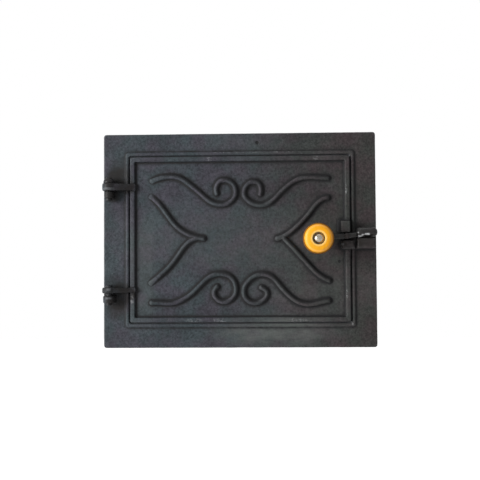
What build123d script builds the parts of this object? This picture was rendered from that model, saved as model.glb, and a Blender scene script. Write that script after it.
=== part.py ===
from build123d import *
import os
from math import asin, cos, radians, sin

os.makedirs("parts", exist_ok=True)

# Sizes in millimetres. X runs to the right along the door, Z up, and the front looks along -Y.
# The origin is the centre of the opening, in the plane of the flange's rear face, which lies on
# the stove wall. "Standing" sizes are distances in front of that plane.

# Frame casting
flange_width = 272.0
flange_height = 214.0
flange_thickness = 5.0
flange_corner_radius = 2.5
flange_edge_radius = 0.8
opening_right_of_middle = 0.5
opening_above_middle = 1.0
seat_standing = 2.0
seat_width = 7.5
sleeve_wall = 4.0
sleeve_depth = 28.0
sleeve_draft = 1.5
bead_width = 3.6
bead_height = 1.6
bead_edge_radius = 1.5
bead_corner_radius = 3.0
anchor_hole_diameter = 6.0
anchor_hole_spacing = 110.0
anchor_hole_from_rear = 9.0

# Leaf casting
leaf_width = 219.0
leaf_height = 165.0
leaf_plate = 3.2
leaf_corner_radius = 1.2
edge_gap = 1.2
seat_gap = 0.3
rim_width = 4.4
rim_height = 2.8
rim_draft = 16.0
rim_edge_radius = 0.9
panel_corner_radius = 1.5
lip_height = 5.0
lip_width = 3.5
lip_clearance = 3.2

# Raised scrolls on the panel
scroll_radius = 2.5
scroll_side_margin = 17.1
scroll_top_margin = 15.1
drawn_width = 176.0
drawn_height = 126.0

# Hinges
eye_radius = 6.7
eye_edge_radius = 1.4
strap_inset = 0.6
strap_edge_radius = 0.7
eye_to_flange = 0.8
pin_diameter = 6.0
pin_fit = 0.08
upper_lug_radius = 4.8
lower_lug_radius = 5.8
lug_height = 7.3
lug_edge_radius = 1.0
arm_over_bead = 1.4
arm_end_rise = 1.4
arm_reach = 1.2
upper_arm_bottom = 48.4
upper_arm_height = 7.8
upper_lug_gap = 0.3
lower_arm_bottom = -53.2
lower_arm_height = 5.9
lower_lug_gap = 2.3
pin_head_gap = 0.3
upper_head_diameter = 11.0
upper_head_height = 5.6
upper_dome_rise = 4.2
lower_head_diameter = 7.2
lower_head_height = 2.2
lower_dome_rise = 0.7
pin_tail = 2.0
pin_chamfer = 0.7

# Latch bracket on the leaf: a stop block above the lever and a stop bar below it
rivet_from_edge = 4.2
rivet_height = 1.9
pivot_boss_radius = 3.8
block_width = 11.8
block_height = 12.6
block_front_width = 8.6
block_front_height = 10.8
block_from_edge = 0.2
block_right_draft = 0.8
block_above_rivet = 3.85
block_standing = 17.5
block_edge_radius = 0.7
bar_width = 13.3
bar_from_edge = 9.4
bar_below_rivet = 3.9
bar_height = 8.8
bar_standing = 16.0
bar_end_radius = 3.4
bar_edge_radius = 2.2
bar_over_bead = 1.2

# Latch lever
lever_slant = 5.5
lever_gap = 0.3
lever_standing = 10.8
lever_thickness = 6.0
lever_hub_radius = 3.0
lever_arm_height = 5.0
lever_edge_radius = 0.9
knob_from_rivet = 28.9
lever_pad_radius = 6.8
nose_from_rivet = 9.4
nose_length = 21.0
nose_below_line = 3.5
nose_above_line = 6.2
nose_corner_radius = 4.4
nose_edge_radius = 2.5

# Latch rivet
rivet_diameter = 3.6
rivet_head_diameter = 5.8
rivet_head_height = 1.9
rivet_tail_diameter = 6.2
rivet_tail_depth = 1.6

# Keeper on the frame
keeper_from_leaf = 5.5
keeper_width = 17.4
keeper_bottom = -10.4
keeper_lip_top = -0.7
keeper_floor_thickness = 2.6
keeper_lip_thickness = 4.0
keeper_clearance = 0.7
keeper_edge_radius = 1.2
keeper_ramp = 1.8

# Knob and its fastening
knob_diameter = 30.0
knob_length = 21.0
knob_foot_diameter = 15.0
knob_foot_length = 1.5
knob_neck_diameter = 13.0
knob_neck_from_foot = 4.2
knob_shoulder_diameter = 22.8
knob_shoulder_from_foot = 7.6
knob_belly_from_foot = 13.0
knob_brow_diameter = 26.7
knob_brow_from_foot = 18.1
knob_face_diameter = 17.0
knob_recess_diameter = 12.0
knob_recess_depth = 4.0
screw_diameter = 5.0
screw_head_diameter = 10.0
screw_head_height = 3.4
screw_dome_rise = 2.7
screw_tail = 0.6
washer_diameter = 11.4
washer_thickness = 1.0
nut_across_flats = 8.0
nut_thickness = 2.8

# Places worked out from the sizes above
leaf_back = seat_standing + seat_gap
panel_standing = leaf_back + leaf_plate
rim_standing = panel_standing + rim_height
bead_standing = flange_thickness + bead_height
recess_width = leaf_width + 2 * edge_gap
recess_height = leaf_height + 2 * edge_gap
recess_radius = leaf_corner_radius + edge_gap
throat_width = recess_width - 2 * seat_width
throat_height = recess_height - 2 * seat_width
panel_width = leaf_width - 2 * rim_width
panel_height = leaf_height - 2 * rim_width
leaf_edge = leaf_width / 2
flange_x = -opening_right_of_middle
flange_z = -opening_above_middle
hinge_x = flange_x - flange_width / 2 + eye_radius
hinge_standing = flange_thickness + eye_to_flange + eye_radius
upper_lug_top = upper_arm_bottom - upper_lug_gap
lower_lug_top = lower_arm_bottom - lower_lug_gap
rivet_x = leaf_edge - rivet_from_edge
lever_front = lever_standing + lever_thickness
keeper_left = leaf_edge + keeper_from_leaf
keeper_lip_back = lever_front + keeper_clearance
keeper_standing = keeper_lip_back + keeper_lip_thickness
trough_floor = keeper_bottom + keeper_floor_thickness
stretch_x = (panel_width - 2 * scroll_side_margin) / drawn_width
stretch_z = (panel_height - 2 * scroll_top_margin) / drawn_height
slant = radians(lever_slant)
lever_plane = Plane(
    origin=(rivet_x, -lever_standing, rivet_height),
    x_dir=(cos(slant), 0, sin(slant)),
    z_dir=(0, -1, 0),
)
knob_x = rivet_x - knob_from_rivet * cos(slant)
knob_z = rivet_height - knob_from_rivet * sin(slant)
washer_back = lever_front + knob_length - knob_recess_depth
screw_head_back = washer_back + washer_thickness
nut_back = lever_standing - nut_thickness

# Crest lines of the raised scrolls, as drawn on the panel from the opening's centre
upper_left_scroll = [
    (-88, 58.7), (-80, 61.4), (-71, 63), (-60, 61.5), (-50, 55), (-38, 44.8), (-29.5, 37.8),
    (-19, 34.6), (-9.5, 37), (-4, 44.3), (-5.2, 53), (-12, 58.6), (-19.5, 57.5), (-23.2, 51.5), (-22.6, 45.8),
]
upper_right_scroll = [
    (88, 60.2), (79, 60.8), (70, 61.2), (59.5, 59.5), (49.5, 53.6), (40, 45), (30.5, 36.4),
    (20.5, 33.7), (10.5, 36.8), (4.8, 43.6), (5.8, 51), (12, 56.6), (18.5, 56), (21.4, 50), (20.8, 45),
]
lower_left_scroll = [
    (-88, -63), (-78, -63.1), (-68, -63.4), (-58, -60.4), (-47.5, -53.6), (-37, -43.3), (-28.5, -36.7),
    (-18.5, -34.6), (-9.5, -37.6), (-4.3, -46.4), (-5.2, -55.6), (-11.5, -61.4), (-19.5, -61.8),
    (-25.6, -55.6), (-22.5, -47.4),
]
lower_right_scroll = [
    (88, -61.5), (79, -63.4), (69, -65), (59, -63.4), (49, -56.7), (39, -45.8), (31, -37.6),
    (21, -35.2), (11, -39.6), (4.2, -48.6), (5.2, -58.2), (12.5, -63.4), (20, -62.6),
    (26.8, -55.6), (21.4, -48.5),
]
left_arrow = [(-89, 43), (-78.5, 32.9), (-69, 19.8), (-60.5, 10.6), (-50.5, 4.6), (-36, 0.8)]
left_arrow_tail = [(-89.5, -43.6), (-79, -35.3), (-67.5, -24), (-59, -12.2), (-50.5, -2.6), (-43, 1.2)]
right_arrow = [(88, 40.6), (78.8, 36.2), (69.6, 25.4), (58, 13), (46.5, 3.9), (37.5, 0.2)]
right_arrow_tail = [(88.5, -41.6), (79, -36.6), (69.6, -27.6), (58.8, -15.4), (48, -3.8), (43, 1.4)]
scroll_lines = [
    upper_left_scroll,
    upper_right_scroll,
    lower_left_scroll,
    lower_right_scroll,
    left_arrow,
    left_arrow_tail,
    right_arrow,
    right_arrow_tail,
]


# Sketch plane that looks out of the door's front, this far in front of the wall
def facing(standing):
    return Plane.XZ.offset(standing)


# Sketch plane that looks up, at this height
def level(height):
    return Plane.XY.offset(height)


# Level plane through an axis that runs out of the door at x and z
def axis_plane(x, z):
    return Plane(origin=(x, 0, z), x_dir=(1, 0, 0), z_dir=(0, 0, 1))


# Point halfway along a domed head's arc: its distance from the axis, and its rise above the dome's foot
def dome_middle(radius, rise):
    ball = (radius**2 + rise**2) / (2 * rise)
    half_angle = asin(radius / ball) / 2
    return ball * sin(half_angle), rise - ball * (1 - cos(half_angle))


# Keeps the hinge lug's eye round its pin, and joins it to the flange
def hinge_lug(top, radius):
    foot = flange_thickness / 2
    with BuildPart() as lug:
        with BuildSketch(level(top)):
            with Locations((hinge_x, -hinge_standing)):
                Circle(radius)
            with Locations((hinge_x, -(hinge_standing + foot) / 2)):
                Rectangle(2 * radius, hinge_standing - foot)
        extrude(amount=-lug_height)
        fillet(lug.edges().filter_by(GeomType.CIRCLE), lug_edge_radius)
    return lug.part


# Strap that tapers from the eye to the leaf's rim, a little inside the eye's outline
def hinge_strap(bottom, height):
    strap_end = -leaf_edge + rim_width + arm_reach
    strap_back = bead_standing + arm_over_bead
    strap_front = rim_standing + arm_end_rise
    with BuildPart() as strap:
        with BuildSketch(level(bottom)):
            with Locations((hinge_x, -hinge_standing)):
                Circle(eye_radius - strap_inset)
            with Locations((strap_end - rim_width / 2, -(strap_back + strap_front) / 2)):
                Rectangle(rim_width, strap_front - strap_back)
            make_hull()
        extrude(amount=height)
        fillet(strap.faces().filter_by(Axis.Z).edges(), strap_edge_radius)
        foot_width = rim_width + arm_reach
        foot_back = leaf_back + leaf_plate / 2
        with BuildSketch(level(bottom + strap_edge_radius)):
            with Locations((strap_end - foot_width / 2, -(foot_back + strap_front) / 2)):
                Rectangle(foot_width, strap_front - foot_back - strap_edge_radius)
        extrude(amount=height - 2 * strap_edge_radius)
    return strap.part


# Arm of the leaf: an eye that turns on the pin, and its strap
def hinge_arm(bottom, height):
    with BuildPart() as arm:
        with BuildSketch(level(bottom)):
            with Locations((hinge_x, -hinge_standing)):
                Circle(eye_radius)
        extrude(amount=height)
        fillet(arm.edges().filter_by(GeomType.CIRCLE), eye_edge_radius)
        add(hinge_strap(bottom + strap_inset, height - 2 * strap_inset))
    return arm.part


# Ledge with a raised lip that the lever's nose drops behind
def latch_keeper():
    with BuildPart() as ledge:
        with BuildSketch(Plane.YZ.offset(keeper_left)):
            with BuildLine():
                Polyline(
                    (-flange_thickness / 2, keeper_bottom),
                    (-keeper_standing, keeper_bottom),
                    (-keeper_standing, keeper_lip_top - keeper_ramp),
                    (-keeper_standing + keeper_ramp, keeper_lip_top),
                    (-keeper_lip_back, keeper_lip_top),
                    (-keeper_lip_back, trough_floor),
                    (-flange_thickness / 2, trough_floor),
                    close=True,
                )
            make_face()
        extrude(amount=keeper_width)
        fillet(ledge.faces().sort_by(Axis.Y)[0].edges(), keeper_edge_radius)
    return ledge.part


# Stop block above the lever, narrowing towards its flat front
def stop_block():
    right = leaf_edge - block_from_edge
    low = rivet_height + block_above_rivet
    root = panel_standing - leaf_plate / 2
    with BuildPart() as block:
        with BuildSketch(facing(root)):
            with Locations((right - block_width / 2, low + block_height / 2)):
                Rectangle(block_width, block_height)
        with BuildSketch(facing(block_standing)):
            front_right = right - block_right_draft
            with Locations((front_right - block_front_width / 2, low + block_front_height / 2)):
                Rectangle(block_front_width, block_front_height)
        loft()
        fillet(block.faces().sort_by(Axis.Y)[0].edges(), block_edge_radius)
    return block.part


# Stop bar below the lever, round at its left end, that runs on past the leaf's edge
def stop_bar():
    left = leaf_edge - bar_from_edge
    top = rivet_height - bar_below_rivet
    root = panel_standing - leaf_plate / 2
    hang = bead_standing + bar_over_bead
    with BuildPart() as bar:
        with BuildSketch(facing(root)):
            with Locations((left + bar_width / 2, top - bar_height / 2)):
                Rectangle(bar_width, bar_height)
        extrude(amount=bar_standing - root)
        with BuildSketch(facing(hang)):
            with Locations((leaf_edge + bar_width / 2, top - bar_height / 2)):
                Rectangle(bar_width, bar_height)
        extrude(amount=root - hang, mode=Mode.SUBTRACT)
        left_corners = bar.edges().filter_by(Axis.Y).group_by(Axis.X)[0]
        fillet(left_corners, bar_end_radius)
        fillet(bar.faces().sort_by(Axis.Y)[0].edges(), bar_edge_radius)
    return bar.part


# Frame: one casting with flange, seat for the leaf, sleeve into the wall, pin lugs and keeper
with BuildPart() as frame:
    with BuildSketch(facing(0)):
        with Locations((flange_x, flange_z)):
            RectangleRounded(flange_width, flange_height, flange_corner_radius)
    extrude(amount=flange_thickness)
    fillet(frame.faces().sort_by(Axis.Y)[0].edges(), flange_edge_radius)
    with BuildSketch(facing(0)):
        RectangleRounded(throat_width + 2 * sleeve_wall, throat_height + 2 * sleeve_wall, sleeve_wall)
    extrude(amount=-sleeve_depth, taper=sleeve_draft)
    with BuildSketch(facing(flange_thickness)):
        Rectangle(throat_width, throat_height)
    extrude(amount=-(flange_thickness + sleeve_depth), mode=Mode.SUBTRACT)
    with BuildSketch(facing(flange_thickness)):
        RectangleRounded(recess_width, recess_height, recess_radius)
    extrude(amount=seat_standing - flange_thickness, mode=Mode.SUBTRACT)
    with BuildSketch(facing(flange_thickness)):
        RectangleRounded(
            recess_width + 2 * bead_width, recess_height + 2 * bead_width, bead_corner_radius
        )
        RectangleRounded(recess_width, recess_height, recess_radius, mode=Mode.SUBTRACT)
    extrude(amount=bead_height)
    fillet(frame.faces().sort_by(Axis.Y)[0].edges(), bead_edge_radius)
    for side in (-1, 1):
        with BuildSketch(Plane.YZ.offset(side * throat_width / 2)):
            with Locations((sleeve_depth - anchor_hole_from_rear, 0)):
                with GridLocations(0, anchor_hole_spacing, 1, 2):
                    Circle(anchor_hole_diameter / 2)
        extrude(amount=side * 2 * sleeve_wall, mode=Mode.SUBTRACT)
    for lug_top, lug_radius in (
        (upper_lug_top, upper_lug_radius),
        (lower_lug_top, lower_lug_radius),
    ):
        add(hinge_lug(lug_top, lug_radius))
        with BuildSketch(level(lug_top)):
            with Locations((hinge_x, -hinge_standing)):
                Circle(pin_diameter / 2)
        extrude(amount=-lug_height, mode=Mode.SUBTRACT)
    add(latch_keeper())

# Leaf: one casting with rim, recessed panel, scrolls, hinge arms, latch stops and a rear lip
with BuildPart() as door_leaf:
    with BuildSketch(facing(leaf_back)):
        RectangleRounded(leaf_width, leaf_height, leaf_corner_radius)
    extrude(amount=leaf_plate + rim_height)
    with BuildSketch(facing(rim_standing)):
        RectangleRounded(panel_width, panel_height, panel_corner_radius)
    extrude(amount=-rim_height, taper=rim_draft, mode=Mode.SUBTRACT)
    fillet(door_leaf.faces().sort_by(Axis.Y)[0].edges(), rim_edge_radius)
    lip_outer_width = throat_width - 2 * lip_clearance
    lip_outer_height = throat_height - 2 * lip_clearance
    with BuildSketch(facing(leaf_back)):
        Rectangle(lip_outer_width, lip_outer_height)
        Rectangle(lip_outer_width - 2 * lip_width, lip_outer_height - 2 * lip_width, mode=Mode.SUBTRACT)
    extrude(amount=-lip_height)
    for points in scroll_lines:
        with BuildLine(facing(panel_standing)) as crest:
            Spline(*[(x * stretch_x, z * stretch_z) for x, z in points])
        start = crest.line @ 0
        end = crest.line @ 1
        with BuildSketch(Plane(origin=start, z_dir=crest.line % 0)):
            Circle(scroll_radius)
        sweep(path=crest.line)
        with Locations(start, end):
            Sphere(scroll_radius)
    add(hinge_arm(upper_arm_bottom, upper_arm_height))
    add(hinge_arm(lower_arm_bottom, lower_arm_height))
    for arm_bottom, arm_height in (
        (upper_arm_bottom, upper_arm_height),
        (lower_arm_bottom, lower_arm_height),
    ):
        with BuildSketch(level(arm_bottom)):
            with Locations((hinge_x, -hinge_standing)):
                Circle(pin_diameter / 2 + pin_fit)
        extrude(amount=arm_height, mode=Mode.SUBTRACT)
    add(stop_block())
    add(stop_bar())
    with BuildSketch(facing(leaf_back)):
        with Locations((rivet_x, rivet_height)):
            Circle(pivot_boss_radius)
    extrude(amount=lever_standing - lever_gap - leaf_back)
    with BuildSketch(facing(leaf_back)):
        with Locations((rivet_x, rivet_height)):
            Circle(rivet_diameter / 2)
    extrude(amount=block_standing, mode=Mode.SUBTRACT)
    with BuildSketch(axis_plane(rivet_x, rivet_height)):
        with BuildLine():
            Polyline(
                (0, -leaf_back),
                (rivet_tail_diameter / 2, -leaf_back),
                (rivet_diameter / 2, -leaf_back - rivet_tail_depth),
                (0, -leaf_back - rivet_tail_depth),
                close=True,
            )
        make_face()
    revolve(axis=Axis((rivet_x, 0, rivet_height), (0, 1, 0)), mode=Mode.SUBTRACT)


# Pin that stands in a lug and carries an eye: shank, head with a domed top, and tail below the lug
def hinge_pin(lug_top, arm_top, head_diameter, head_height, dome_rise):
    shank = pin_diameter / 2
    head = head_diameter / 2
    head_low = arm_top + pin_head_gap
    dome_low = head_low + head_height - dome_rise
    tail_end = lug_top - lug_height - pin_tail
    middle_out, middle_up = dome_middle(head, dome_rise)
    with BuildPart() as pin:
        with BuildSketch(facing(hinge_standing)):
            with BuildLine():
                Polyline(
                    (hinge_x, dome_low + dome_rise),
                    (hinge_x, tail_end),
                    (hinge_x + shank - pin_chamfer, tail_end),
                    (hinge_x + shank, tail_end + pin_chamfer),
                    (hinge_x + shank, head_low),
                    (hinge_x + head, head_low),
                    (hinge_x + head, dome_low),
                )
                ThreePointArc(
                    (hinge_x + head, dome_low),
                    (hinge_x + middle_out, dome_low + middle_up),
                    (hinge_x, dome_low + dome_rise),
                )
            make_face()
        revolve(axis=Axis((hinge_x, -hinge_standing, 0), (0, 0, 1)))
    return pin.part


with BuildPart() as upper_hinge_pin:
    upper_arm_top = upper_arm_bottom + upper_arm_height
    add(hinge_pin(upper_lug_top, upper_arm_top, upper_head_diameter, upper_head_height, upper_dome_rise))

with BuildPart() as lower_hinge_pin:
    lower_arm_top = lower_arm_bottom + lower_arm_height
    add(hinge_pin(lower_lug_top, lower_arm_top, lower_head_diameter, lower_head_height, lower_dome_rise))

# Rivet: domed head in front of the lever, tail peened flush into the leaf's back
with BuildPart() as latch_rivet:
    head_back = lever_front + lever_gap
    middle_out, middle_up = dome_middle(rivet_head_diameter / 2, rivet_head_height)
    with BuildSketch(axis_plane(rivet_x, rivet_height)):
        with BuildLine():
            Polyline(
                (0, -head_back - rivet_head_height),
                (0, -leaf_back),
                (rivet_tail_diameter / 2, -leaf_back),
                (rivet_diameter / 2, -leaf_back - rivet_tail_depth),
                (rivet_diameter / 2, -head_back),
                (rivet_head_diameter / 2, -head_back),
            )
            ThreePointArc(
                (rivet_head_diameter / 2, -head_back),
                (middle_out, -head_back - middle_up),
                (0, -head_back - rivet_head_height),
            )
        make_face()
    revolve(axis=Axis((rivet_x, 0, rivet_height), (0, 1, 0)))


# Lump of a nose at the lever's end, rounded all over
def lever_nose():
    middle = nose_from_rivet + nose_length / 2
    with BuildPart() as nose:
        with BuildSketch(lever_plane):
            with Locations((middle, (nose_above_line - nose_below_line) / 2)):
                RectangleRounded(nose_length, nose_above_line + nose_below_line, nose_corner_radius)
        extrude(amount=lever_thickness)
        ends = nose.faces().sort_by(Axis.Y)
        fillet(ends[0].edges() + ends[-1].edges(), nose_edge_radius)
    return nose.part


# Straight bar of the lever, from under the knob into the nose
def lever_arm():
    into_nose = nose_from_rivet + nose_corner_radius
    with BuildPart() as arm:
        with BuildSketch(lever_plane):
            with Locations(((into_nose - knob_from_rivet) / 2, 0)):
                Rectangle(knob_from_rivet + into_nose, lever_arm_height)
        extrude(amount=lever_thickness)
        fillet(arm.faces().sort_by(Axis.Y)[0].edges(), lever_edge_radius)
    return arm.part


# Lever: casting with a lump of a nose, a hub round the rivet and a pad under the knob
with BuildPart() as latch_lever:
    add(lever_arm())
    add(lever_nose())
    with BuildSketch(lever_plane):
        Circle(lever_hub_radius)
        with Locations((-knob_from_rivet, 0)):
            Circle(lever_pad_radius)
    extrude(amount=lever_thickness)
    with BuildSketch(lever_plane):
        Circle(rivet_diameter / 2 + pin_fit)
        with Locations((-knob_from_rivet, 0)):
            Circle(screw_diameter / 2)
    extrude(amount=lever_thickness, mode=Mode.SUBTRACT)

# Knob: turned wood, with a recess in its face for the screw's head
with BuildPart() as knob:
    with BuildSketch(axis_plane(knob_x, knob_z)):
        base = -lever_front
        face = -lever_front - knob_length
        with BuildLine():
            Polyline(
                (screw_diameter / 2, base),
                (knob_foot_diameter / 2, base),
                (knob_foot_diameter / 2, base - knob_foot_length),
            )
            Spline(
                (knob_foot_diameter / 2, base - knob_foot_length),
                (knob_neck_diameter / 2, base - knob_neck_from_foot),
                (knob_shoulder_diameter / 2, base - knob_shoulder_from_foot),
                (knob_diameter / 2, base - knob_belly_from_foot),
                (knob_brow_diameter / 2, base - knob_brow_from_foot),
                (knob_face_diameter / 2, face),
            )
            Polyline(
                (knob_face_diameter / 2, face),
                (knob_recess_diameter / 2, face),
                (knob_recess_diameter / 2, face + knob_recess_depth),
                (screw_diameter / 2, face + knob_recess_depth),
                (screw_diameter / 2, base),
            )
        make_face()
    revolve(axis=Axis((knob_x, 0, knob_z), (0, 1, 0)))

with BuildPart() as knob_washer:
    with BuildSketch(facing(washer_back)):
        with Locations((knob_x, knob_z)):
            Circle(washer_diameter / 2)
            Circle(screw_diameter / 2, mode=Mode.SUBTRACT)
    extrude(amount=washer_thickness)

# Screw: domed head in the knob's recess, shank through the knob and the lever's pad
with BuildPart() as knob_screw:
    dome_foot = screw_head_back + screw_head_height - screw_dome_rise
    middle_out, middle_up = dome_middle(screw_head_diameter / 2, screw_dome_rise)
    with BuildSketch(axis_plane(knob_x, knob_z)):
        with BuildLine():
            Polyline(
                (0, -dome_foot - screw_dome_rise),
                (0, -nut_back + screw_tail),
                (screw_diameter / 2, -nut_back + screw_tail),
                (screw_diameter / 2, -screw_head_back),
                (screw_head_diameter / 2, -screw_head_back),
                (screw_head_diameter / 2, -dome_foot),
            )
            ThreePointArc(
                (screw_head_diameter / 2, -dome_foot),
                (middle_out, -dome_foot - middle_up),
                (0, -dome_foot - screw_dome_rise),
            )
        make_face()
    revolve(axis=Axis((knob_x, 0, knob_z), (0, 1, 0)))

with BuildPart() as knob_nut:
    with BuildSketch(facing(nut_back)):
        with Locations((knob_x, knob_z)):
            RegularPolygon(nut_across_flats / 2, 6, major_radius=False)
            Circle(screw_diameter / 2, mode=Mode.SUBTRACT)
    extrude(amount=nut_thickness)

pieces = {
    "frame": frame,
    "door_leaf": door_leaf,
    "upper_hinge_pin": upper_hinge_pin,
    "lower_hinge_pin": lower_hinge_pin,
    "latch_rivet": latch_rivet,
    "latch_lever": latch_lever,
    "knob": knob,
    "knob_washer": knob_washer,
    "knob_screw": knob_screw,
    "knob_nut": knob_nut,
}
for name, piece in pieces.items():
    piece.part.label = name
    export_step(piece.part, f"parts/{name}.step")
    print(name, len(piece.solids()), round(piece.part.volume))
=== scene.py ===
import math
import bmesh
import bpy
import numpy as np
from mathutils import Matrix, Vector


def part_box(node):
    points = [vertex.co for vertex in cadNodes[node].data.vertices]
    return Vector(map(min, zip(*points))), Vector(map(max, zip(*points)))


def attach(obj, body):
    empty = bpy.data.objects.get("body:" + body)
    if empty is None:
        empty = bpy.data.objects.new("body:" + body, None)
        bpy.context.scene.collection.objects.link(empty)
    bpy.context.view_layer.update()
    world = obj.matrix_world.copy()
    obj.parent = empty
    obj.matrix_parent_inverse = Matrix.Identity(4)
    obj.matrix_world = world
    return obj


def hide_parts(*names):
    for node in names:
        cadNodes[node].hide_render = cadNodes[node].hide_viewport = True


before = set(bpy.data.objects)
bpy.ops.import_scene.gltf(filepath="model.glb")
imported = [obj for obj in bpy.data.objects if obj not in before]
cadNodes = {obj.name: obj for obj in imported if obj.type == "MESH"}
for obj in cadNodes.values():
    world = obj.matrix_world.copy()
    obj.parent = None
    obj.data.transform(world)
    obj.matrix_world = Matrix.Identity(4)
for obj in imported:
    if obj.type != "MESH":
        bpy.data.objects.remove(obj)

scene = bpy.context.scene
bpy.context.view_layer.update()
print("frame loaded")


# Small helpers for node trees
def newNode(tree, kind, **settings):
    node = tree.nodes.new(kind)
    for name, value in settings.items():
        setattr(node, name, value)
    return node


def wire(tree, source, target):
    tree.links.new(source, target)


def setIn(node, name, value):
    node.inputs[name].default_value = value


def maths(tree, operation, first, second=None, third=None):
    node = newNode(tree, "ShaderNodeMath", operation=operation)
    for socket, value in zip(node.inputs, (first, second, third)):
        if value is None:
            continue
        if isinstance(value, (int, float)):
            socket.default_value = value
        else:
            wire(tree, value, socket)
    return node.outputs[0]


def times(tree, first, second):
    return maths(tree, "MULTIPLY", first, second)


def largest(tree, *values):
    most = values[0]
    for value in values[1:]:
        most = maths(tree, "MAXIMUM", most, value)
    return most


def ramp(tree, source, low, high, outLow=0.0, outHigh=1.0, smooth=False):
    node = newNode(tree, "ShaderNodeMapRange", clamp=True)
    node.interpolation_type = "SMOOTHSTEP" if smooth else "LINEAR"
    wire(tree, source, node.inputs["Value"])
    setIn(node, "From Min", low)
    setIn(node, "From Max", high)
    setIn(node, "To Min", outLow)
    setIn(node, "To Max", outHigh)
    return node.outputs["Result"]


def noise(tree, where, scale, detail=2.0, roughness=0.5):
    node = newNode(tree, "ShaderNodeTexNoise", noise_dimensions="3D")
    wire(tree, where, node.inputs["Vector"])
    setIn(node, "Scale", scale)
    setIn(node, "Detail", detail)
    setIn(node, "Roughness", roughness)
    return node.outputs["Fac"]


def blendColour(tree, amount, first, second, mode="MIX"):
    node = newNode(tree, "ShaderNodeMix", data_type="RGBA", blend_type=mode)
    if isinstance(amount, (int, float)):
        node.inputs[0].default_value = amount
    else:
        wire(tree, amount, node.inputs[0])
    for index, value in ((6, first), (7, second)):
        if isinstance(value, tuple):
            node.inputs[index].default_value = (*value, 1.0)
        else:
            wire(tree, value, node.inputs[index])
    return node.outputs[2]


def distanceTo(tree, where, place):
    node = newNode(tree, "ShaderNodeVectorMath", operation="DISTANCE")
    wire(tree, where, node.inputs[0])
    node.inputs[1].default_value = place
    return node.outputs["Value"]


def attribute(tree, name):
    return newNode(tree, "ShaderNodeAttribute", attribute_name=name).outputs["Fac"]


def axesOf(tree, where):
    node = newNode(tree, "ShaderNodeSeparateXYZ")
    wire(tree, where, node.inputs[0])
    return node.outputs


def mapped(tree, where, **settings):
    node = newNode(tree, "ShaderNodeMapping")
    wire(tree, where, node.inputs["Vector"])
    for name, value in settings.items():
        setIn(node, name, value)
    return node.outputs[0]


def newMaterial(name):
    material = bpy.data.materials.new(name)
    material.use_nodes = True
    tree = material.node_tree
    shader = next(node for node in tree.nodes if node.type == "BSDF_PRINCIPLED")
    where = newNode(tree, "ShaderNodeTexCoord").outputs["Object"]
    return material, tree, shader, where


def bumpInto(tree, shader, height, distance, strength):
    node = newNode(tree, "ShaderNodeBump")
    wire(tree, height, node.inputs["Height"])
    setIn(node, "Distance", distance)
    setIn(node, "Strength", strength)
    wire(tree, node.outputs["Normal"], shader.inputs["Normal"])


flatten = (1.0, 0.0, 1.0)
# Black paint on sand-cast iron: bluish on the hinge side, brownish on the latch side. Each noise is
# its scale, detail and roughness, and each pair of turns is where its change starts and ends. Places
# are x and z on the front, and a front is the y where a change starts and ends, all in metres.
castIron = dict(
    cold=(0.0400, 0.0432, 0.0508),
    warm=(0.0385, 0.0342, 0.0332),
    green=(0.89, 1.05, 1.0),
    plum=(1.07, 0.965, 1.03),
    # Soot in hollows, also used as painted shade in creases, on the stop block's sides and on the shaded
    # sides of raised work
    sootAndShade=(0.0130, 0.0130, 0.0137),
    grease=(0.013, 0.011, 0.010),
    # Worn paint on edges, also used as painted light in the gap round the leaf and as painted highlights
    wornAndLit=(0.125, 0.130, 0.137),
    # Bare metal on rubbed edges, also used as painted highlights and the painted glint on the lever's
    # nose
    bareAndGlint=(0.55, 0.56, 0.57),
    # Pale dust, also used as painted sheen and a painted light strip
    dustAndSheen=(0.122, 0.132, 0.124),
    middleTurns=(0.3, 0.7),
    turnsWarm=(-0.05, 0.12), driftNoise=(14.0, 2.0), driftReach=0.12,
    hueNoise=(50.0, 2.0), hueTurns=(0.38, 0.62),
    cloudNoise=(32.0, 3.0), cloudDepth=0.16,
    mottleNoise=(460.0, 4.0, 0.65), mottleDepth=0.44,
    wornNoise=(60.0, 3.0), wornTurns=(0.42, 0.68), wornLeast=0.05, wornMore=0.21, highlightShare=0.55,
    scratchNoise=(380.0, 4.0, 0.7), scratchTurns=(0.48, 0.62),
    fleckNoise=(420.0, 3.0), fleckTurns=(0.38, 0.55),
    # Share of painted shade on the sides of raised work facing away from the light
    shadedSideShare=0.85,
    # Pale dust and painted sheen, stretched along x: place after the stretch, reach and share
    paleStretch=(0.3, 1.0, 1.0), palePlane=-0.005, paleCore=0.25, paleNoise=(160.0, 4.0, 0.6),
    paleTurns=(0.35, 0.65), paleRange=(0.45, 1.45), stripShare=0.15,
    paleAndSheenPatches=(
        (0.0105, -0.0910, 0.0240, 0.46), (0.0, 0.0, 0.0500, 0.11), (0.0, 0.0950, 0.0200, 0.08),
        (0.0210, -0.0540, 0.0340, 0.13),
    ),
    # Thin grease round the hinges: place, reach and share
    dullCore=0.3,
    dullPatches=(
        (-0.1230, -0.0690, 0.0160, 0.62), (-0.1190, 0.0720, 0.0160, 0.42),
        (-0.1250, -0.0430, 0.0120, 0.32),
    ),
    greaseShare=0.88, greaseNoise=(110.0, 3.0), greaseTurns=(0.3, 0.55), greaseRange=(0.55, 1.0),
    greaseFront=(-0.0010, -0.0020), greaseShine=0.08, greaseFills=0.75,
    roughness=(0.5, 0.66), roughNoise=(150.0, 3.0),
    specular=0.13, glossSpecular=2.0, glossyFrom=0.1,
    grainNoise=(900.0, 3.0, 0.6), dimpleNoise=(260.0, 2.0), dimpleShare=1.6, pitDepth=2.0,
    bumpDepth=0.00022, bumpMatt=0.75, bumpGlossy=0.12,
)
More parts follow.
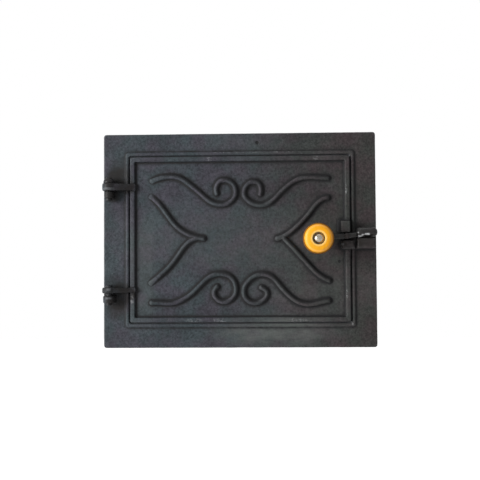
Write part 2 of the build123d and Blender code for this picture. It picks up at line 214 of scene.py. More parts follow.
# Thick grease at the hinges and the latch, then two pits: place and reach
greaseSpots = (
    (-0.1215, 0.0590, 0.0175), (-0.1270, 0.0450, 0.0090), (-0.1120, 0.0530, 0.0095),
    (-0.1180, -0.0540, 0.0140), (-0.1300, -0.0530, 0.0085), (-0.1100, -0.0540, 0.0080),
    (-0.1220, -0.0600, 0.0130),
    (0.1170, -0.0020, 0.0088), (0.1275, -0.0015, 0.0100), (0.1010, -0.0060, 0.0050),
)
pitSpots = ((0.0180, 0.0966, 0.0022), (0.0989, -0.0228, 0.0018))
# Rubbed bare edges that also stand for painted highlights, painted highlights on the hinge eyes, a pin
# head and the stop bar's end,
# # a painted glint on the nose and a strip of painted light along the panel's hinge side: middle x and
# z, half length and half height
rubbedGlintStreaks = (
    (-0.030, 0.0800, 0.0030, 0.0022), (0.076, 0.0800, 0.0030, 0.0022),
    (-0.046, -0.0805, 0.0085, 0.0018), (-0.021, -0.0805, 0.0085, 0.0018),
    (-0.070, -0.0800, 0.0025, 0.0016), (0.058, -0.0805, 0.0140, 0.0018),
    (0.012, 0.0872, 0.0560, 0.0010), (0.112, -0.0850, 0.0020, 0.0025),
    (0.115, -0.0790, 0.0016, 0.0020), (-0.1075, -0.0600, 0.0016, 0.0060),
    (0.1060, -0.0560, 0.0012, 0.0060), (0.1060, 0.0480, 0.0012, 0.0080),
)
highlightStreaks = (
    (-0.1298, 0.0503, 0.0066, 0.0016), (-0.1290, -0.0493, 0.0026, 0.0017),
    (-0.1295, -0.0580, 0.0040, 0.0013), (0.1013, -0.0062, 0.0014, 0.0012),
)
noseGlintStreaks = (
    (0.1182, 0.0016, 0.0022, 0.0011), (0.1216, 0.0026, 0.0026, 0.0012),
    (0.1252, 0.0036, 0.0028, 0.0012),
)
paintedLightStrip = ((-0.0985, -0.0350, 0.0150, 0.0600),)
# Painted light in the gap round the leaf, lifting its shade, and painted shade on the sides of the stop
# block behind its front face
litGapLook = dict(
    leafHalf=(0.1095, 0.0825), reach=(-0.0004, 0.0014), margin=0.0002, front=(-0.0060, -0.0050)
)
# Painted shade on the stop block's sides
shadedBlockSides = ((0.1034, 0.0121, 0.0090, 0.0096),)
blockFront = (-0.0172, -0.0162)
# Share of a spot or streak that is even before it fades
spotCore = 0.6
streakCore = (0.6, 0.5)


# Largest of several round masks on the front, each 1 at its place and 0 at its reach
def spotMask(tree, where, spots, core=spotCore):
    flat = mapped(tree, where, Scale=flatten)
    return largest(tree, *(
        ramp(tree, distanceTo(tree, flat, (x, 0.0, z)), reach, reach * core, smooth=True)
        for x, z, reach in spots
    ))


# 1 along each short streak, 0 outside it
def streakMask(tree, where, streaks):
    axes = axesOf(tree, where)
    masks = []
    for middleX, middleZ, halfLong, halfHigh in streaks:
        along = maths(tree, "ABSOLUTE", maths(tree, "SUBTRACT", axes["X"], middleX))
        upward = maths(tree, "ABSOLUTE", maths(tree, "SUBTRACT", axes["Z"], middleZ))
        long = ramp(tree, along, halfLong, halfLong * streakCore[0])
        masks.append(times(tree, long, ramp(tree, upward, halfHigh, halfHigh * streakCore[1])))
    return largest(tree, *masks)


# 1 between two radii, fading over a margin at both
def ringMask(tree, radius, inner, outer, margin):
    rising = ramp(tree, radius, inner - margin, inner + margin, smooth=True)
    return times(tree, rising, ramp(tree, radius, outer + margin, outer - margin, smooth=True))


# Paint colour before wear and dirt: hue drifts across the door, clouds and mottles it
def paintColour(tree, where, axes, look, shade):
    reach = look["driftReach"]
    drift = maths(tree, "MULTIPLY_ADD", noise(tree, where, *look["driftNoise"]), reach, -reach / 2)
    warmth = ramp(tree, maths(tree, "ADD", axes["X"], drift), *look["turnsWarm"], smooth=True)
    colour = blendColour(tree, warmth, look["cold"], look["warm"])
    hue = ramp(tree, noise(tree, where, *look["hueNoise"]), *look["hueTurns"])
    tint = blendColour(tree, hue, look["green"], look["plum"])
    colour = blendColour(tree, 1.0, colour, tint, "MULTIPLY")
    middle, clouds, mottles = look["middleTurns"], look["cloudDepth"], look["mottleDepth"]
    cloudy = noise(tree, where, *look["cloudNoise"])
    cloud = ramp(tree, cloudy, *middle, (1 - clouds) * shade, (1 + clouds) * shade)
    mottle = ramp(tree, noise(tree, where, *look["mottleNoise"]), *middle, 1 - mottles, 1 + mottles)
    return blendColour(tree, 1.0, colour, times(tree, cloud, mottle), "MULTIPLY")


# Pale dust and painted sheen in patches, and a strip of painted light along the hinge side
def dustAndSheenOver(tree, where, look, colour):
    stretched = mapped(tree, where, Scale=look["paleStretch"])
    uneven = ramp(
        tree, noise(tree, stretched, *look["paleNoise"]), *look["paleTurns"], *look["paleRange"]
    )
    for x, z, reach, share in look["paleAndSheenPatches"]:
        away = distanceTo(tree, stretched, (x, look["palePlane"], z))
        pale = times(tree, ramp(tree, away, reach, reach * look["paleCore"], smooth=True), share)
        colour = blendColour(tree, times(tree, pale, uneven), colour, look["dustAndSheen"])
    # Strip of painted light along the hinge side
    strip = times(tree, streakMask(tree, where, paintedLightStrip), look["stripShare"])
    return blendColour(tree, strip, colour, look["dustAndSheen"])


def ironMaterial(name, look, shade=1.0, gloss=0.0):
    material, tree, shader, where = newMaterial(name)
    axes = axesOf(tree, where)
    glossy = gloss > look["glossyFrom"]
    crest = attribute(tree, "crest")
    colour = paintColour(tree, where, axes, look, shade)
    patchy = ramp(tree, noise(tree, where, *look["wornNoise"]), *look["wornTurns"])
    patchy = maths(tree, "MULTIPLY_ADD", patchy, look["wornMore"], look["wornLeast"])
    colour = blendColour(tree, times(tree, crest, patchy), colour, look["wornAndLit"])
    colour = dustAndSheenOver(tree, where, look, colour)
    inFront = ramp(tree, axes["Y"], *look["greaseFront"])
    for x, z, reach, share in look["dullPatches"]:
        dull = times(tree, spotMask(tree, where, ((x, z, reach),), look["dullCore"]), share)
        colour = blendColour(tree, times(tree, dull, inFront), colour, look["grease"])
    streak = ramp(
        tree, noise(tree, where, *look["greaseNoise"]), *look["greaseTurns"], *look["greaseRange"]
    )
    greasy = times(tree, times(tree, spotMask(tree, where, greaseSpots), streak), inFront)
    colour = blendColour(tree, times(tree, greasy, look["greaseShare"]), colour, look["grease"])

    # Painted light in the gap round the leaf, lifting the shade there
    beyond = [
        maths(tree, "SUBTRACT", maths(tree, "ABSOLUTE", axes[axis]), half)
        for axis, half in zip("XZ", litGapLook["leafHalf"])
    ]
    litGap = ringMask(tree, largest(tree, *beyond), *litGapLook["reach"], litGapLook["margin"])
    litGap = times(tree, litGap, ramp(tree, axes["Y"], *litGapLook["front"]))
    colour = blendColour(tree, litGap, colour, look["wornAndLit"])
    # Soot in hollows and pits, partly painted shade in the creases
    hollow = times(tree, attribute(tree, "hollow"), maths(tree, "SUBTRACT", 1.0, litGap))
    pit = spotMask(tree, where, pitSpots)
    # Painted shade on the stop block's sides
    shadedSides = times(tree, streakMask(tree, where, shadedBlockSides), ramp(tree, axes["Y"], *blockFront))
    # Painted shade on the sides of raised work facing away from the light
    shadedSide = times(tree, attribute(tree, "shadedSide"), look["shadedSideShare"])
    colour = blendColour(tree, largest(tree, hollow, pit, shadedSides, shadedSide), colour, look["sootAndShade"])
    # Bare metal on rubbed edges, which also stand for painted highlights
    scratch = ramp(tree, noise(tree, where, *look["scratchNoise"]), *look["scratchTurns"])
    rubbedAndGlint = times(tree, times(tree, streakMask(tree, where, rubbedGlintStreaks), scratch), crest)
    colour = blendColour(tree, rubbedAndGlint, colour, look["bareAndGlint"])
    # Painted highlights on the hinge eyes, a pin head and the stop bar's end
    paintedHighlights = times(tree, streakMask(tree, where, highlightStreaks), look["highlightShare"])
    colour = blendColour(tree, paintedHighlights, colour, look["wornAndLit"])
    if glossy:
        # Painted glint on the lever's nose
        flecks = ramp(tree, noise(tree, where, *look["fleckNoise"]), *look["fleckTurns"])
        noseGlint = times(tree, streakMask(tree, where, noseGlintStreaks), flecks)
        colour = blendColour(tree, noseGlint, colour, look["bareAndGlint"])
    wire(tree, colour, shader.inputs["Base Color"])

    low, high = look["roughness"]
    rough = ramp(
        tree, noise(tree, where, *look["roughNoise"]), *look["middleTurns"], low - gloss, high - gloss
    )
    rough = maths(tree, "SUBTRACT", rough, times(tree, greasy, look["greaseShine"] * (1 - gloss)))
    wire(tree, rough, shader.inputs["Roughness"])
    setIn(shader, "Specular IOR Level", look["specular"] * (1 + look["glossSpecular"] * gloss))
    dimples = times(tree, noise(tree, where, *look["dimpleNoise"]), look["dimpleShare"])
    height = maths(tree, "ADD", noise(tree, where, *look["grainNoise"]), dimples)
    height = times(tree, height, maths(tree, "MULTIPLY_ADD", greasy, -look["greaseFills"], 1.0))
    height = maths(tree, "SUBTRACT", height, times(tree, pit, look["pitDepth"]))
    bumpInto(tree, shader, height, look["bumpDepth"], look["bumpGlossy"] if glossy else look["bumpMatt"])
    return material


# Amber lacquer over turned wood, yellower to the left, and painted brighter to the right as painted
# light making up for the lamp from the left.
# # Rings give a colour, inner and outer radius, margin and share, and only the outline shows behind; the
# rings are a painted highlight round the hole, a painted reflection inside the rim, painted shade at the
# outer edge and painted shade inside the recess.
amberWood = dict(
    yellow=(0.90, 0.41, 0.012),
    orange=(1.0, 0.42, 0.010),
    grain=(0.62, 0.20, 0.008),
    # Colours of the painted highlight, the painted reflection, the painted shade at the edge and the
    # painted shade in the recess
    highlightCream=(0.95, 0.60, 0.17),
    reflectionPeach=(0.96, 0.46, 0.11),
    outline=(0.16, 0.055, 0.008),
    inside=(0.18, 0.11, 0.03),
    driftNoise=(120.0, 2.0), driftReach=0.012, turnsOrange=(-0.010, 0.014),
    grainStretch=(1.0, 1.0, 0.16), grainTurn=24, grainNoise=(520.0, 4.0, 0.65),
    grainTurns=(0.52, 0.7), grainShare=0.3, bumpDepth=0.00004, bumpStrength=0.3,
    front=(0.002, -0.004),
    rings=(
        ("highlightCream", 0.0060, 0.0077, 0.0006, 0.9), ("reflectionPeach", 0.0117, 0.0130, 0.0006, 0.7),
        ("outline", 0.0138, 0.0200, 0.0005, 0.92), ("inside", 0.0, 0.0059, 0.0002, 1.0),
    ),
    roughness=0.5,
    specular=0.25,
    coat=0.06,
    coatRoughness=0.3,
)


def woodMaterial(name, look, centre):
    material, tree, shader, where = newMaterial(name)
    place = mapped(tree, where, Location=(-centre[0], -centre[1], -centre[2]))
    axes = axesOf(tree, place)
    reach = look["driftReach"]
    drift = maths(tree, "MULTIPLY_ADD", noise(tree, where, *look["driftNoise"]), reach, -reach / 2)
    side = ramp(tree, maths(tree, "ADD", axes["X"], drift), *look["turnsOrange"], smooth=True)
    colour = blendColour(tree, side, look["yellow"], look["orange"])
    long = mapped(
        tree, place, Scale=look["grainStretch"], Rotation=(0.0, math.radians(look["grainTurn"]), 0.0)
    )
    lines = ramp(tree, noise(tree, long, *look["grainNoise"]), *look["grainTurns"])
    colour = blendColour(tree, times(tree, lines, look["grainShare"]), colour, look["grain"])
    radius = distanceTo(tree, mapped(tree, place, Scale=flatten), (0.0, 0.0, 0.0))
    front = ramp(tree, axes["Y"], *look["front"])
    # Painted highlight, reflection and shade in rings
    for ring, inner, outer, margin, share in look["rings"]:
        amount = times(tree, ringMask(tree, radius, inner, outer, margin), share)
        if ring != "outline":
            amount = times(tree, amount, front)
        colour = blendColour(tree, amount, colour, look[ring])
    wire(tree, colour, shader.inputs["Base Color"])
    setIn(shader, "Roughness", look["roughness"])
    setIn(shader, "Specular IOR Level", look["specular"])
    setIn(shader, "Coat Weight", look["coat"])
    setIn(shader, "Coat Roughness", look["coatRoughness"])
    bumpInto(tree, shader, lines, look["bumpDepth"], look["bumpStrength"])
    return material


# Plated steel with fine turning marks, bright on the screw and the nut, darker on the washer as painted
# shade in the knob's recess
platedSteel = dict(colour=(0.34, 0.31, 0.26), dull=(0.14, 0.115, 0.08), roughness=(0.2, 0.32))
shadedWasherLook = dict(colour=(0.15, 0.125, 0.085), dull=(0.07, 0.055, 0.03), roughness=(0.3, 0.45))
steelGrain = dict(
    spotNoise=(700.0, 3.0), spotTurns=(0.5, 0.75), roughNoise=(400.0,), roughTurns=(0.3, 0.7),
    bumpNoise=(2200.0, 2.0), bumpDepth=0.00002, bumpStrength=0.4,
)


def steelMaterial(name, look):
    material, tree, shader, where = newMaterial(name)
    spots = ramp(tree, noise(tree, where, *steelGrain["spotNoise"]), *steelGrain["spotTurns"])
    wire(tree, blendColour(tree, spots, look["colour"], look["dull"]), shader.inputs["Base Color"])
    setIn(shader, "Metallic", 1.0)
    rough = noise(tree, where, *steelGrain["roughNoise"])
    rough = ramp(tree, rough, *steelGrain["roughTurns"], *look["roughness"])
    wire(tree, rough, shader.inputs["Roughness"])
    marks = noise(tree, where, *steelGrain["bumpNoise"])
    bumpInto(tree, shader, marks, steelGrain["bumpDepth"], steelGrain["bumpStrength"])
    return material


# Empty Geometry Nodes tree with the named inputs, and their identifiers
def pieceTree(name, **kinds):
    tree = bpy.data.node_groups.new(name, "GeometryNodeTree")
    side = tree.interface
    side.new_socket("Geometry", in_out="INPUT", socket_type="NodeSocketGeometry")
    inputs = {
        label: side.new_socket(label, in_out="INPUT", socket_type="NodeSocket" + kind).identifier
        for label, kind in kinds.items()
    }
    side.new_socket("Geometry", in_out="OUTPUT", socket_type="NodeSocketGeometry")
    return tree, inputs, newNode(tree, "NodeGroupInput")


# Last nodes of a piece's tree: real geometry with the given material
def paintOut(tree, given, geometry):
    real = newNode(tree, "GeometryNodeRealizeInstances")
    wire(tree, geometry, real.inputs[0])
    painted = newNode(tree, "GeometryNodeSetMaterial")
    wire(tree, real.outputs[0], painted.inputs["Geometry"])
    wire(tree, given.outputs["material"], painted.inputs["Material"])
    wire(tree, painted.outputs[0], newNode(tree, "NodeGroupOutput").inputs[0])


# Gives a casting its sand-mould skin
def castSkinTree():
    tree, inputs, given = pieceTree(
        "castSkin",
        lumpScale="Float", lumpDepth="Float", grainScale="Float", grainDepth="Float",
        seed="Float", material="Material",
    )
    where = newNode(tree, "GeometryNodeInputPosition").outputs[0]
    parts = []
    for scaleName, depthName in (("lumpScale", "lumpDepth"), ("grainScale", "grainDepth")):
        cloud = newNode(tree, "ShaderNodeTexNoise", noise_dimensions="4D")
        wire(tree, where, cloud.inputs["Vector"])
        wire(tree, given.outputs["seed"], cloud.inputs["W"])
        wire(tree, given.outputs[scaleName], cloud.inputs["Scale"])
        setIn(cloud, "Detail", 2.0)
        centred = maths(tree, "SUBTRACT", cloud.outputs["Fac"], 0.5)
        parts.append(times(tree, centred, given.outputs[depthName]))
    outward = newNode(tree, "ShaderNodeVectorMath", operation="SCALE")
    wire(tree, newNode(tree, "GeometryNodeInputNormal").outputs[0], outward.inputs[0])
    wire(tree, maths(tree, "ADD", *parts), outward.inputs["Scale"])
    moved = newNode(tree, "GeometryNodeSetPosition")
    wire(tree, given.outputs["Geometry"], moved.inputs["Geometry"])
    wire(tree, outward.outputs[0], moved.inputs["Offset"])
    paintOut(tree, given, moved.outputs[0])
    return tree, inputs


# Turns a profile round its axis, as a lathe does
def turnedTree():
    tree, inputs, given = pieceTree(
        "turned", steps="Int", pathRadius="Float", turn="Vector", place="Vector", material="Material"
    )
    outline = newNode(tree, "GeometryNodeMeshToCurve")
    wire(tree, given.outputs["Geometry"], outline.inputs[0])
    circle = newNode(tree, "GeometryNodeCurvePrimitiveCircle")
    wire(tree, given.outputs["steps"], circle.inputs["Resolution"])
    wire(tree, given.outputs["pathRadius"], circle.inputs["Radius"])
    swept = newNode(tree, "GeometryNodeCurveToMesh")
    wire(tree, circle.outputs[0], swept.inputs["Curve"])
    wire(tree, outline.outputs[0], swept.inputs["Profile Curve"])
    closed = newNode(tree, "GeometryNodeMergeByDistance")
    setIn(closed, "Distance", latheWeld)
    wire(tree, swept.outputs[0], closed.inputs["Geometry"])
    placed = newNode(tree, "GeometryNodeTransform")
    wire(tree, closed.outputs[0], placed.inputs["Geometry"])
    wire(tree, given.outputs["turn"], placed.inputs["Rotation"])
    wire(tree, given.outputs["place"], placed.inputs["Translation"])
    paintOut(tree, given, placed.outputs[0])
    return tree, inputs


# How close points have to be to become one, in metres
castWeld = 1e-6
latheWeld = 2e-6
castSkin, castSkinInputs = castSkinTree()
turned, turnedInputs = turnedTree()
print("node trees ready")


def giveTree(piece, tree, inputs, **values):
    modifier = piece.modifiers.new(tree.name, "NODES")
    modifier.node_group = tree
    for name, value in values.items():
        modifier[inputs[name]] = value


# Turns what the modifiers show into the piece's own plain mesh
def settle(piece):
    graph = bpy.context.evaluated_depsgraph_get()
    shown = piece.evaluated_get(graph)
    made = bpy.data.meshes.new_from_object(shown, preserve_all_data_layers=True, depsgraph=graph)
    piece.modifiers.clear()
    piece.data = made
    return made


# Reads places or normals of all points, as rows
def pointRows(mesh, name):
    rows = np.empty(len(mesh.vertices) * 3, np.float64)
    mesh.vertices.foreach_get(name, rows)
    return rows.reshape(-1, 3)


def movePoints(mesh, points):
    mesh.vertices.foreach_set("co", points.reshape(-1))
    mesh.update()


# Both ends of each edge, and how many edges meet at each point
def edgeEnds(mesh):
    count = len(mesh.vertices)
    ends = np.empty(len(mesh.edges) * 2, np.int64)
    mesh.edges.foreach_get("vertices", ends)
    first, second = ends.reshape(-1, 2).T
    touching = np.bincount(first, minlength=count) + np.bincount(second, minlength=count)
    return first, second, np.maximum(touching, 1)


# Sum of a value over each point's neighbours
def neighbourSum(values, first, second):
    count = len(values)
    return np.bincount(first, values[second], count) + np.bincount(second, values[first], count)


def writeLayer(mesh, name, values):
    layer = mesh.attributes.new(name, "FLOAT", "POINT")
    layer.data.foreach_set("value", values.astype(np.float32))


# Marks outer edges (crest) and inner corners (hollow), both from 0 to 1 and a little spread
def markEdges(mesh, spread, crestFrom, hollowFrom):
    count = len(mesh.vertices)
    points, normals = pointRows(mesh, "co"), pointRows(mesh, "normal")
    first, second, touching = edgeEnds(mesh)
    span = points[second] - points[first]
    bend = ((normals[second] - normals[first]) * span).sum(1) / np.maximum((span**2).sum(1), 1e-12)
    bent = (np.bincount(first, bend, count) + np.bincount(second, bend, count)) / touching
    for _ in range(spread):
        bent = 0.5 * bent + 0.5 * neighbourSum(bent, first, second) / touching
    writeLayer(mesh, "crest", np.clip(bent / crestFrom, 0, 1))
    writeLayer(mesh, "hollow", np.clip(-bent / hollowFrom, 0, 1))


# Marks the side of the panel's raised work that faces away from the light, for painted shade there
def markShadedSide(mesh, face, away, panel, lean, fullLean, lowest, rise, rounds, gain):
    points, normals = pointRows(mesh, "co"), pointRows(mesh, "normal")
    facing = np.clip((normals @ np.array(away) + lean) / fullLean, 0, 1)
    height = np.clip((face - points[:, 1] - lowest) / rise, 0, 1)
    inside = (np.abs(points[:, 0]) < panel[0]) & (np.abs(points[:, 2]) < panel[1])
    first, second, touching = edgeEnds(mesh)
    shadedSide = facing * height * inside
    for _ in range(rounds):
        around = neighbourSum(shadedSide, first, second)
        shadedSide = np.maximum(shadedSide, np.minimum(gain * around / touching, 1))
    writeLayer(mesh, "shadedSide", shadedSide)


# Fades raised work on a face to nothing at its tips: each tip is a start and an end, both x and z
def fadeTips(mesh, face, tips, highest, halfWide, before, power):
    points = pointRows(mesh, "co")
    raised = (points[:, 1] < face) & (points[:, 1] > face - highest)
    for startX, startZ, endX, endZ in tips:
        stepX, stepZ = endX - startX, endZ - startZ
        length = math.hypot(stepX, stepZ)
        fromX, fromZ = points[:, 0] - startX, points[:, 2] - startZ
        share = (fromX * stepX + fromZ * stepZ) / length**2
        beside = np.abs(fromX * stepZ - fromZ * stepX) / length
        near = raised & (beside < halfWide) & (share > before) & (share < 1)
        height = np.where(near, np.clip(share, 0, 1) ** power, 1.0)
        points[:, 1] = face + (points[:, 1] - face) * height
    movePoints(mesh, points)


# Rounds and lifts the lever's nose, a lump along a slanting line; metres, and degrees for the slant
def roundNose(mesh, pivot, slant, start, end, above, half, front, depth, drop, lift):
    points = pointRows(mesh, "co")
    turn = math.radians(slant)
    fromX, fromZ = points[:, 0] - pivot[0], points[:, 2] - pivot[1]
    along = fromX * math.cos(turn) + fromZ * math.sin(turn)
    height = fromZ * math.cos(turn) - fromX * math.sin(turn) - above
    near = np.clip(along, start + half, end - half)
    away = np.clip(np.hypot(along - near, height) / half, 0, 1)
    share = np.clip((front + depth - points[:, 1]) / depth, 0, 1)
    onNose = along > start
    points[:, 1] += np.where(onNose, drop * away**2 * share, 0.0)
    rise = lift * np.clip((end - along) / (end - start), 0, 1) * np.clip(height / half, 0, 1)
    points[:, 2] += np.where(onNose, rise, 0.0)
    movePoints(mesh, points)


def addPiece(name, mesh):
    piece = bpy.data.objects.new(name, mesh)
    scene.collection.objects.link(piece)
    return piece


def finishPiece(piece, body, slot, *nodes):
    for polygon in piece.data.polygons:
        polygon.use_smooth = True
    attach(piece, body)
    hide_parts(*nodes)


# Copy of a CAD casting with softened edges and a sand-cast skin
def castPiece(name, node, look, material):
    mesh = cadNodes[node].data.copy()
    mesh.materials.clear()
    work = bmesh.new()
    work.from_mesh(mesh)
    bmesh.ops.remove_doubles(work, verts=work.verts, dist=castWeld)
    work.to_mesh(mesh)
    work.free()
    piece = addPiece(name, mesh)
    voxels = piece.modifiers.new("voxels", "REMESH")
    voxels.mode = "VOXEL"
    voxels.voxel_size = look["voxel"] * 1.0
    voxels.use_smooth_shade = True
    soft = piece.modifiers.new("softEdges", "SMOOTH")
    soft.factor = 0.5
    soft.iterations = look["soften"]
    giveTree(piece, castSkin, castSkinInputs, **look["skin"], material=material)
    settle(piece)
    triangles = sum(len(polygon.vertices) - 2 for polygon in piece.data.polygons)
    if triangles > look["triangles"]:
        fewer = piece.modifiers.new("fewer", "DECIMATE")
        fewer.ratio = look["triangles"] / triangles
        settle(piece)
    if "fade" in look:
        fadeTips(piece.data, look["face"], **look["fade"])
    if "shadedSide" in look:
        markShadedSide(piece.data, look["face"], **look["shadedSide"])
    if "nose" in look:
        roundNose(piece.data, **look["nose"])
    markEdges(piece.data, **look["edges"])
    print(name, triangles, "triangles made,", len(piece.data.polygons), "kept")
    return piece


# Profile points in mm from the axis, turned into a lathe piece; along is measured from its foot
def turnedPiece(name, profile, steps, turn, place, material):
    reach = 0.001 * max(radius for radius, along in profile)
    mesh = bpy.data.meshes.new(name)
    points = [(radius / 1000 - reach, along / 1000, 0.0) for radius, along in profile]
    mesh.from_pydata(points, [(i, i + 1) for i in range(len(points) - 1)], [])
    piece = addPiece(name, mesh)
    giveTree(
        piece, turned, turnedInputs,
        steps=steps, pathRadius=reach, turn=turn, place=place, material=material,
    )
    made = settle(piece)
    work = bmesh.new()
    work.from_mesh(made)
    bmesh.ops.recalc_face_normals(work, faces=work.faces)
    work.to_mesh(made)
    work.free()
    return piece


# Points of an arc from one angle to another, in degrees
def arc(radius, along, size, start, end, steps):
    turn = [math.radians(start + (end - start) * i / steps) for i in range(steps + 1)]
    return [(radius + size * math.cos(a), along + size * math.sin(a)) for a in turn]


# Smooth line through a few profile points
def smoothLine(points, steps):
    ends = [points[0], *points, points[-1]]
    line = []
    for i in range(len(points) - 1):
        before, start, end, after = ends[i:i + 4]
        for k in range(steps):
            t = k / steps
            line.append(tuple(
                0.5 * (
                    2 * s + (e - b) * t
                    + (2 * b - 5 * s + 4 * e - a) * t**2
                    + (3 * s - 3 * e + a - b) * t**3
                )
                for b, s, e, a in zip(before, start, end, after)
            ))
    return line + [points[-1]]


ironFrame = ironMaterial("blackIronFrame", castIron)
ironLeaf = ironMaterial("blackIronLeaf", castIron)
ironLever = ironMaterial("glossyIronLever", castIron, shade=0.42, gloss=0.32)
ironPins = ironMaterial("blackPins", castIron, shade=0.9, gloss=0.06)
steel = steelMaterial("platedSteel", platedSteel)
shadedWasherSteel = steelMaterial("shadedWasherSteel", shadedWasherLook)
print("materials ready")

# Castings, lengths in metres. The face is the y of the panel, and the triangles a ceiling.
leafCast = dict(
    voxel=0.00055, soften=5, triangles=190000, face=-0.0055,
    skin=dict(lumpScale=110.0, lumpDepth=0.00028, grainScale=620.0, grainDepth=0.0001, seed=3.0),
    fade=dict(
        tips=(
            (-0.0905, 0.0579, -0.0780, 0.0620), (-0.0907, 0.0447, -0.0780, 0.0325),
            (-0.0915, -0.0452, -0.0790, -0.0353),
        ),
        highest=0.0035, halfWide=0.006, before=-0.4, power=0.8,
    ),
    # Painted shade on the sides of the panel's raised work facing away from the light
    shadedSide=dict(
        away=(0.93, 0.0, 0.36), panel=(0.098, 0.072), lean=0.02, fullLean=0.35,
        lowest=0.0001, rise=0.0004, rounds=4, gain=1.25,
    ),
    edges=dict(spread=4, crestFrom=420.0, hollowFrom=95.0),
)
frameCast = dict(
    voxel=0.0007, soften=4, triangles=190000,
    skin=dict(lumpScale=95.0, lumpDepth=0.00030, grainScale=560.0, grainDepth=0.00012, seed=8.0),
    edges=dict(spread=3, crestFrom=420.0, hollowFrom=125.0),
)
leverCast = dict(
    voxel=0.00032, soften=16, triangles=60000,
    skin=dict(lumpScale=160.0, lumpDepth=0.00025, grainScale=700.0, grainDepth=0.00004, seed=5.0),
    nose=dict(
        pivot=(0.1053, 0.0019), slant=5.5, start=0.0094, end=0.0304, above=0.00135, half=0.0049,
        front=-0.0168, depth=0.0045, drop=0.0022, lift=0.0014,
    ),
    edges=dict(spread=3, crestFrom=700.0, hollowFrom=500.0),
)
leaf = castPiece("leafCasting", "door_leaf", leafCast, ironLeaf)
finishPiece(leaf, "leaf_body", "leaf_iron", "door_leaf")
rim = castPiece("frameCasting", "frame", frameCast, ironFrame)
finishPiece(rim, "frame_body", "frame_iron", "frame")
lever = castPiece("leverCasting", "latch_lever", leverCast, ironLever)
finishPiece(lever, "lever_body", "lever_iron", "latch_lever")
print("castings ready")

# Knob: turned wood with a soft brow and a rounded recess, radius and height above the foot in mm
knobLook = dict(
    bore=2.5, footRound=0.4,
    belly=((7.5, 1.5), (6.5, 4.2), (11.4, 7.6), (15.0, 13.0), (13.6, 18.3), (11.3, 20.2)),
    face=8.4, faceDrop=0.15, recess=6.0, recessRound=0.7, recessDepth=4.0,
    lineSteps=8, turnSteps=96,
)
knobLow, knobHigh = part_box("knob")
knobLong = 1000 * (knobHigh.y - knobLow.y)
knobMiddle = (knobLow + knobHigh) / 2
wood = woodMaterial("amberWood", amberWood, knobMiddle)
bore, recess, floorAt = knobLook["bore"], knobLook["recess"], knobLong - knobLook["recessDepth"]
footRound, recessRound = knobLook["footRound"], knobLook["recessRound"]
footEnd = knobLook["belly"][0][0] - footRound
faceEdge = (knobLook["face"], knobLong - knobLook["faceDrop"])
knobProfile = (
    [(bore, 0.0), (footEnd, 0.0)]
    + arc(footEnd, footRound, footRound, -90, 0, 4)
    + smoothLine([*knobLook["belly"], faceEdge], knobLook["lineSteps"])
    + arc(recess + recessRound, knobLong - recessRound, recessRound, 90, 180, 6)
    + [(recess, floorAt), (bore, floorAt), (bore, 0.0)]
)
knobTurn = (math.radians(-90), 0.0, 0.0)
knobPlace = (knobMiddle.x, knobHigh.y, knobMiddle.z)
knob = turnedPiece("turnedKnob", knobProfile, knobLook["turnSteps"], knobTurn, knobPlace, wood)
finishPiece(knob, "lever_body", "knob_wood", "knob")
print("knob ready")

for node, material in (
    ("upper_hinge_pin", ironPins), ("lower_hinge_pin", ironPins), ("latch_rivet", ironPins),
    ("knob_washer", shadedWasherSteel), ("knob_screw", steel), ("knob_nut", steel),
):
    for slot in cadNodes[node].material_slots:
        slot.material = material
print("fastenings painted")

# Floor well below the door, white backdrop and soft studio light.
# The floor glows less under the door, so that the shadow shows there.
studio = dict(
    floor=-0.45, floorHalf=4.0, floorTone=0.85, ambient=0.14,
    liftNear=0.80, liftFar=0.94, nearReach=0.6, farReach=1.1,
    keyPlace=(-1.38, -1.0, 0.2), keySize=0.8, keyPower=37.5,
    fillPlace=(0.25, -1.5, -0.75), fillSize=0.16, fillPower=8.0,
    topPlace=(0.0, -0.3, 1.9), topSize=1.6, topPower=8.0,
)


# 1 where the camera, a reflection or a see-through ray looks
def seenRay(tree):
    path = newNode(tree, "ShaderNodeLightPath").outputs
    return largest(tree, path["Is Camera Ray"], path["Is Glossy Ray"], path["Is Transmission Ray"])


def floorMaterial(look):
    material = bpy.data.materials.new("paleFloor")
    material.use_nodes = True
    tree = material.node_tree
    tree.nodes.clear()
    matt = newNode(tree, "ShaderNodeBsdfDiffuse")
    setIn(matt, "Color", (look["floorTone"],) * 3 + (1.0,))
    glow = newNode(tree, "ShaderNodeEmission")
    where = newNode(tree, "ShaderNodeTexCoord").outputs["Object"]
    away = distanceTo(tree, where, (0.0, 0.0, look["floor"]))
    lift = ramp(tree, away, look["nearReach"], look["farReach"], look["liftNear"], look["liftFar"])
    wire(tree, times(tree, seenRay(tree), lift), glow.inputs["Strength"])
    both = newNode(tree, "ShaderNodeAddShader")
    wire(tree, matt.outputs[0], both.inputs[0])
    wire(tree, glow.outputs[0], both.inputs[1])
    result = newNode(tree, "ShaderNodeOutputMaterial")
    wire(tree, both.outputs[0], result.inputs["Surface"])
    return material


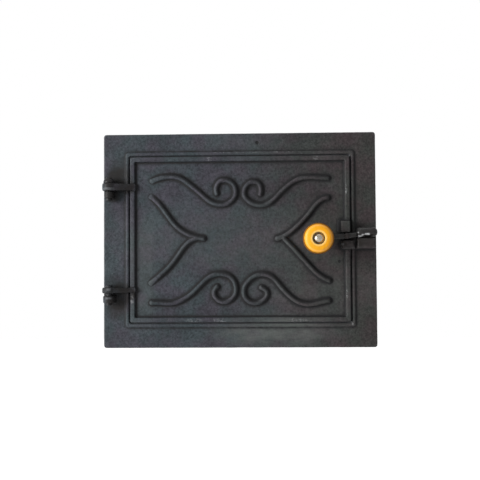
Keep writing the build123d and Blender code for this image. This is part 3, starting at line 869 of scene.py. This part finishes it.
def addFloor(look):
    mesh = bpy.data.meshes.new("floor")
    half, height = look["floorHalf"], look["floor"]
    signs = ((-1, -1), (1, -1), (1, 1), (-1, 1))
    mesh.from_pydata([(half * x, half * y, height) for x, y in signs], [], [(0, 1, 2, 3)])
    mesh.materials.append(floorMaterial(look))
    addPiece("floor", mesh)


def addBackdrop(look):
    world = bpy.data.worlds.new("whiteStudio")
    world.use_nodes = True
    scene.world = world
    tree = world.node_tree
    tree.nodes.clear()
    backdrop = newNode(tree, "ShaderNodeBackground")
    setIn(backdrop, "Color", (1.0, 1.0, 1.0, 1.0))
    strength = ramp(tree, seenRay(tree), 0.0, 1.0, look["ambient"], 1.0)
    wire(tree, strength, backdrop.inputs["Strength"])
    wire(tree, backdrop.outputs[0], newNode(tree, "ShaderNodeOutputWorld").inputs["Surface"])


def softbox(name, place, size, power):
    light = bpy.data.lights.new(name, "AREA")
    light.shape = "SQUARE"
    light.size = size
    light.energy = power
    lamp = bpy.data.objects.new(name, light)
    scene.collection.objects.link(lamp)
    lamp.location = place
    lamp.rotation_mode = "QUATERNION"
    lamp.rotation_quaternion = (-Vector(place)).to_track_quat("-Z", "Y")


addFloor(studio)
addBackdrop(studio)
for name in ("key", "fill", "top"):
    softbox(name + "Light", studio[name + "Place"], studio[name + "Size"], studio[name + "Power"])

# Camera at the photograph's viewing angle, angles in degrees
photoView = dict(
    place=(0.02506, -0.8, -0.02947), yaw=-1.797, pitch=2.052, roll=-0.366, lens=59.85, sensor=36.0
)
yaw, pitch, roll = (math.radians(photoView[name]) for name in ("yaw", "pitch", "roll"))
forward = Vector((math.sin(yaw) * math.cos(pitch), math.cos(yaw) * math.cos(pitch), math.sin(pitch)))
level = forward.cross(Vector((0, 0, 1))).normalized()
upright = level.cross(forward)
right = level * math.cos(roll) + upright * math.sin(roll)
up = upright * math.cos(roll) - level * math.sin(roll)
camera = bpy.data.objects.new("camera", bpy.data.cameras.new("camera"))
scene.collection.objects.link(camera)
camera.data.lens = photoView["lens"]
camera.data.sensor_width = photoView["sensor"]
turnMatrix = Matrix((right, up, -forward)).transposed().to_4x4()
camera.matrix_world = Matrix.Translation(photoView["place"]) @ turnMatrix
scene.camera = camera
scene.view_settings.view_transform = "Standard"
print("studio ready")
